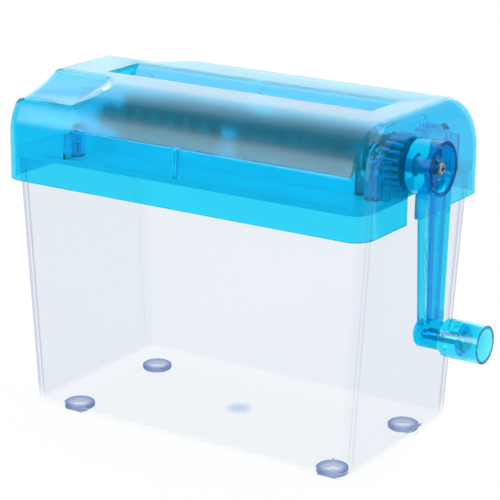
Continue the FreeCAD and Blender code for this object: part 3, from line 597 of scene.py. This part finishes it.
class GeoTree:
    # a geometry node tree with named inputs
    def __init__(self, name):
        self.tree = bpy.data.node_groups.new(name, "GeometryNodeTree")
        self.face = self.tree.interface
        self.face.new_socket("Geometry", in_out="INPUT", socket_type="NodeSocketGeometry")
        self.face.new_socket("Geometry", in_out="OUTPUT", socket_type="NodeSocketGeometry")
        self.keys = {}
        self.start = self.tree.nodes.new("NodeGroupInput")
        self.end = self.tree.nodes.new("NodeGroupOutput")

    def value(self, name, kind="NodeSocketFloat"):
        self.keys[name] = self.face.new_socket(name, in_out="INPUT", socket_type=kind).identifier
        return self.start.outputs[name]

    def node(self, kind, settings=None, sockets=None):
        made = self.tree.nodes.new(kind)
        for key, value in (settings or {}).items():
            setattr(made, key, value)
        for key, value in (sockets or {}).items():
            if isinstance(value, bpy.types.NodeSocket):
                self.tree.links.new(value, made.inputs[key])
            else:
                made.inputs[key].default_value = value
        return made

    def close(self, shape, material):
        real = self.node("GeometryNodeRealizeInstances", {}, {0: shape})
        dressed = self.node("GeometryNodeSetMaterial", {}, {"Geometry": real.outputs[0],
                                                            "Material": material})
        self.tree.links.new(dressed.outputs[0], self.end.inputs[0])

    def run(self, name, mesh, values):
        work = bpy.data.objects.new(name, mesh)
        layout = work.modifiers.new("layout", "NODES")
        layout.node_group = self.tree
        for key, value in values.items():
            layout[self.keys[key]] = value
        return settled(work)


# feet: one turned pad, set out on the bin's four corners
footShape = {
    "height": 0.0026,
    "gap": 0.00005,  # a hair under the bin's floor
    "dish": [(0, 0.0006), (0.0022, 0.00048), (0.0038, 0.00012), (0.0043, 0.0)],  # radius and height
    "edge": 0.0011,
    "edgeSteps": 8,
    "neck": (0.0001, 0.0004),  # in from the rim and down from the top
    "cup": [(0.0058, 0.0), (0.0034, 0.0), (0.0030, 0.0003), (0, 0.0005)],  # radius and depth below the top
    "steps": 64,
}


def footMesh():
    size, radius = footShape, footLook["radius"]
    top, edge = size["height"] - size["gap"], size["edge"]
    profile = list(size["dish"])
    for k in range(size["edgeSteps"] + 1):
        turn = math.pi / 2 * k / size["edgeSteps"]
        profile.append((radius - edge + edge * math.sin(turn), edge - edge * math.cos(turn)))
    profile.append((radius - size["neck"][0], top - size["neck"][1]))
    profile += [(out, top - down) for out, down in size["cup"]]
    return shapeMesh("foot", turnedShape(profile, size["steps"]))


def addFeet():
    tree = GeoTree("feetLayout")
    spacingLong, spacingDeep = tree.value("Spacing Long"), tree.value("Spacing Deep")
    middle = tree.value("Middle", "NodeSocketVector")
    material = tree.value("Material", "NodeSocketMaterial")
    grid = tree.node("GeometryNodeMeshGrid", {}, {"Size X": spacingLong, "Size Y": spacingDeep,
                                                  "Vertices X": 2, "Vertices Y": 2})
    moved = tree.node("GeometryNodeTransform", {}, {"Geometry": grid.outputs[0], "Translation": middle})
    pads = tree.node("GeometryNodeInstanceOnPoints", {}, {"Points": moved.outputs[0],
                                                          "Instance": tree.start.outputs[0]})
    tree.close(pads.outputs[0], material)
    mesh = tree.run("feetWork", footMesh(), {"Spacing Long": footLook["spacing"][0],
                                             "Spacing Deep": footLook["spacing"][1],
                                             "Middle": (headShift, 0.0, 0.0),
                                             "Material": finishes["footClear"]})
    addPiece("clearFeet", mesh, "bin_feet")


# screws: pan heads with a cross recess, heads down under the tray
screwShapes = {
    "tray": {"node": "tray_screws", "head": 0.0025, "shank": 0.0013, "rise": 0.0016, "length": 0.0116,
             "left": (-0.054, 0.074), "right": (0.077, 0.054)},  # place along the head, and spread
    "plate": {"node": "plate_screws", "head": 0.0019, "shank": 0.0009, "rise": 0.0016, "length": 0.0116},
    "crank": {"node": "crank_screw", "head": 0.0025, "shank": 0.0013, "rise": 0.0016, "length": 0.0126},
}
screwForm = {
    "crown": 0.62,  # flat share of the head's radius
    "dome": 0.72,  # rounded share of the head's height
    "domeSteps": 6,
    "pitch": 0.55,  # this, the root and the tip are shares of the shank's radius
    "root": 0.84,
    "tip": 0.8,
    "tipLength": 1.6,
    "thread": (0.1, 0.45, 0.75),  # root, root and crest, as shares of the pitch
    "steps": 24,
}
crossShape = {"reach": 0.55, "width": 0.16, "depth": 0.6}  # shares of the head's radius and height


def screwBody(size):
    form = screwForm
    head, shank, rise, length = size["head"], size["shank"], size["rise"], size["length"]
    crown = head * form["crown"]
    profile = [(0, 0.0), (crown, 0.0)]
    for k in range(1, form["domeSteps"] + 1):
        turn = math.pi / 2 * k / form["domeSteps"]
        profile.append((crown + (head - crown) * math.sin(turn), rise * form["dome"] * (1 - math.cos(turn))))
    profile += [(head, rise), (shank, rise)]
    pitch, root, top = shank * form["pitch"], shank * form["root"], length - shank * form["tipLength"]
    for k in range(int((top - rise) / pitch)):  # thread as rings, each with a crest
        low = rise + pitch * k
        profile += [(out, low + pitch * share) for out, share in zip((root, root, shank), form["thread"])]
    profile += [(shank * form["tip"], top), (0, length)]
    return shapeMesh("screw", turnedShape(profile, form["steps"]))


def crossMesh(size):
    shape = bmesh.new()
    bar = (size["head"] * 2 * crossShape["reach"], size["head"] * 2 * crossShape["width"],
           size["rise"] * 2 * crossShape["depth"])
    for turn in (0, 90):
        corners = bmesh.ops.create_cube(shape, size=1.0)["verts"]
        bmesh.ops.scale(shape, verts=corners, vec=bar)
        bmesh.ops.rotate(shape, verts=corners, matrix=Matrix.Rotation(math.radians(turn), 3, "Z"))
    return shapeMesh("cross", shape)


def screwMesh(size):
    work = bpy.data.objects.new("screwWork", screwBody(size))
    cutter = bpy.data.objects.new("cross", crossMesh(size))
    scene.collection.objects.link(cutter)
    recess = work.modifiers.new("recess", "BOOLEAN")
    recess.operation, recess.solver, recess.use_self = "DIFFERENCE", "EXACT", True
    recess.object = cutter
    mesh = settled(work)
    bpy.data.objects.remove(cutter)
    return mesh


def addScrewSet(name, size):
    tree = GeoTree(name + "Layout")
    lines = []
    for end in ("Left", "Right"):
        along, spread = tree.value(end + " Along"), tree.value(end + " Spread")
        base = tree.value(end + " Level")
        half = tree.node("ShaderNodeMath", {"operation": "MULTIPLY"}, {0: spread, 1: -0.5})
        start = tree.node("ShaderNodeCombineXYZ", {}, {"X": along, "Y": half.outputs[0], "Z": base})
        gap = tree.node("ShaderNodeCombineXYZ", {}, {"Y": spread})
        lines.append(tree.node("GeometryNodeMeshLine", {}, {"Count": 2, "Start Location": start.outputs[0],
                                                            "Offset": gap.outputs[0]}).outputs[0])
    material = tree.value("Material", "NodeSocketMaterial")
    joined = tree.node("GeometryNodeJoinGeometry")
    for line in lines:
        tree.tree.links.new(line, joined.inputs[0])
    screws = tree.node("GeometryNodeInstanceOnPoints", {}, {"Points": joined.outputs[0],
                                                            "Instance": tree.start.outputs[0]})
    tree.close(screws.outputs[0], material)
    low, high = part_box(size["node"])
    head = size["head"]
    left = size.get("left", (low.x + head - headShift, high.y - low.y - 2 * head))
    right = size.get("right", (high.x - head - headShift, high.y - low.y - 2 * head))
    values = {"Material": finishes["steelBright"]}
    for end, (along, spread) in (("Left", left), ("Right", right)):
        values.update({end + " Along": along + headShift, end + " Spread": spread, end + " Level": low.z})
    addPiece(name + "Screws", tree.run(name + "ScrewWork", screwMesh(size), values), size["node"])


def addCrankScrew():
    size = screwShapes["crank"]
    low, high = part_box(size["node"])
    mesh = screwMesh(size)
    middle = (low + high) / 2
    turn = Matrix.Rotation(math.radians(-90), 4, "Y")
    mesh.transform(Matrix.Translation((high.x, middle.y, middle.z)) @ turn)
    addPiece("crankScrew", mesh, size["node"])


addFeet()
addScrewSet("tray", screwShapes["tray"])
addScrewSet("plate", screwShapes["plate"])
addCrankScrew()
print("feet and screws set")

# camera at the photograph's viewpoint
cameraView = {
    "place": (0.42096, -0.66248, 0.31444),
    "azimuth": 33.136,
    "elevation": 16.906,
    "roll": 0.427,
    "lens": 145.81,
    "sensor": 36.0,
    "nearest": 0.01,
}


def addCamera():
    view = cameraView
    azimuth, elevation, roll = (math.radians(view[key]) for key in ("azimuth", "elevation", "roll"))
    flat = math.cos(elevation)
    back = Vector((math.sin(azimuth) * flat, -math.cos(azimuth) * flat, math.sin(elevation)))
    level = Vector((math.cos(azimuth), math.sin(azimuth), 0.0))
    rise = back.cross(level)
    right = level * math.cos(roll) + rise * math.sin(roll)
    up = rise * math.cos(roll) - level * math.sin(roll)
    data = bpy.data.cameras.new("camera")
    data.sensor_fit = "HORIZONTAL"
    data.sensor_width = view["sensor"]
    data.lens = view["lens"]
    data.clip_start = view["nearest"]
    camera = bpy.data.objects.new("camera", data)
    turn = Matrix((right, up, back)).transposed().to_4x4()
    camera.matrix_world = Matrix.Translation(view["place"]) @ turn
    scene.collection.objects.link(camera)
    scene.camera = camera


# studio: white behind and below, greyer in front for reflections, with softboxes for the long highlights
softboxes = [
    {"name": "frontBox", "place": (-0.54, -0.795, 0.53), "aim": (-0.02, -0.045, 0.13),
     "size": (1.0, 0.5), "power": 7.5},
    {"name": "topBox", "place": (0.25, 0.35, 0.95), "aim": (-0.02, 0.0, 0.12),
     "size": (0.8, 0.6), "power": 4.5},
    {"name": "backBox", "place": (-0.57, 0.88, 0.46), "aim": (-0.02, 0.0, 0.14),
     "size": (1.0, 0.5), "power": 3.0, "colour": (1.0, 0.72, 0.72), "behindGlass": False},
    {"name": "frontGloss", "place": (-0.36, -0.765, 0.58), "aim": (-0.02, -0.045, 0.13),
     "size": (0.6, 0.5), "power": 7.0, "lights": False},
    {"name": "leftGloss", "place": (-0.54, 0.43, 0.88), "aim": (-0.02, -0.03, 0.14),
     "size": (0.8, 0.5), "power": 3.2, "lights": False},
    {"name": "sideBox", "place": (0.85, -0.15, 0.40), "aim": (0.05, 0.0, 0.10),
     "size": (0.35, 0.6), "power": 2.0},
]
studio = {
    "ambient": 0.6,
    "front": 0.12,  # how bright reflections see the front
    "sweep": (-0.25, 0.45),  # from the front to the back of the room
    "greyFloor": (0.15, 0.32),  # from here on, in front of the part
    "floorColour": rgb(0.93, 0.93, 0.94),
    "floorWhite": 0.93,
    "floorSize": 6.0,
    "floorDrop": 0.0002,
    "bounces": 48,  # light piped along a clear wall turns many times inside it
    "clearBounces": 32,
}


def seenRays(f):
    rays = f.node("ShaderNodeLightPath")
    total = rays["Is Camera Ray"] + rays["Is Glossy Ray"] + rays["Is Transmission Ray"]
    return f.node("ShaderNodeMath", {"operation": "MINIMUM"}, {0: total, 1: 1.0})[0]


def mirrorRays(f):
    # rays that leave a surface as a reflection, and don't pass through it
    rays = f.node("ShaderNodeLightPath")
    return rays["Is Glossy Ray"] * (1 - rays["Is Transmission Ray"])


def addSoftbox(box):
    data = bpy.data.lights.new(box["name"], "AREA")
    data.shape = "RECTANGLE"
    data.size, data.size_y = box["size"]
    data.energy = box["power"]
    data.color = box.get("colour", (1.0, 1.0, 1.0))
    lamp = bpy.data.objects.new(box["name"], data)
    lamp.location = box["place"]
    lamp.rotation_euler = (Vector(box["aim"]) - Vector(box["place"])).to_track_quat("-Z", "Y").to_euler()
    lamp.visible_camera = False
    lamp.visible_transmission = box.get("behindGlass", True) and box.get("lights", True)
    lamp.visible_diffuse = box.get("lights", True)  # some only make a highlight
    scene.collection.objects.link(lamp)


def addWorld():
    world = bpy.data.worlds.new("studio")
    world.use_nodes = True
    scene.world = world
    f = Finish("studio", world.node_tree)
    aim = f.node("ShaderNodeSeparateXYZ", {}, {0: f.node("ShaderNodeTexCoord")["Generated"]})
    grey = aim[1].step(*studio["sweep"]) * (1.0 - studio["front"]) + studio["front"]  # what gloss sees
    shown = seenRays(f) * (1.0 - studio["ambient"]) + studio["ambient"]
    glossy = mirrorRays(f)
    strength = shown * (1 - glossy) + grey * glossy
    sky = f.node("ShaderNodeBackground", {}, {"Color": white, "Strength": strength})
    f.node("ShaderNodeOutputWorld", {}, {"Surface": sky[0]})


def addFloor():
    half = studio["floorSize"] / 2
    mesh = bpy.data.meshes.new("floor")
    corners = [(-half, -half, 0), (half, -half, 0), (half, half, 0), (-half, half, 0)]
    mesh.from_pydata(corners, [], [(0, 1, 2, 3)])
    floor = bpy.data.objects.new("floor", mesh)
    floor.location.z = -studio["floorDrop"]
    scene.collection.objects.link(floor)
    f = Finish("floorWhite")
    y = f.place()[1]
    matt = f.node("ShaderNodeBsdfDiffuse", {}, {"Color": studio["floorColour"]})
    before = (0 - y).step(*studio["greyFloor"])
    bright = 1 - before * mirrorRays(f) * (1 - studio["front"])  # gloss sees a greyer floor well in front
    glow = f.node("ShaderNodeEmission", {}, {"Color": white, "Strength": bright})
    mesh.materials.append(f.blend(seenRays(f) * studio["floorWhite"], matt, glow))


addCamera()
for box in softboxes:
    addSoftbox(box)
addWorld()
addFloor()
scene.view_settings.view_transform = "Standard"
scene.cycles.max_bounces = studio["bounces"]
scene.cycles.glossy_bounces = studio["bounces"]
scene.cycles.transmission_bounces = studio["bounces"]
scene.cycles.transparent_max_bounces = studio["clearBounces"]
print("studio ready")
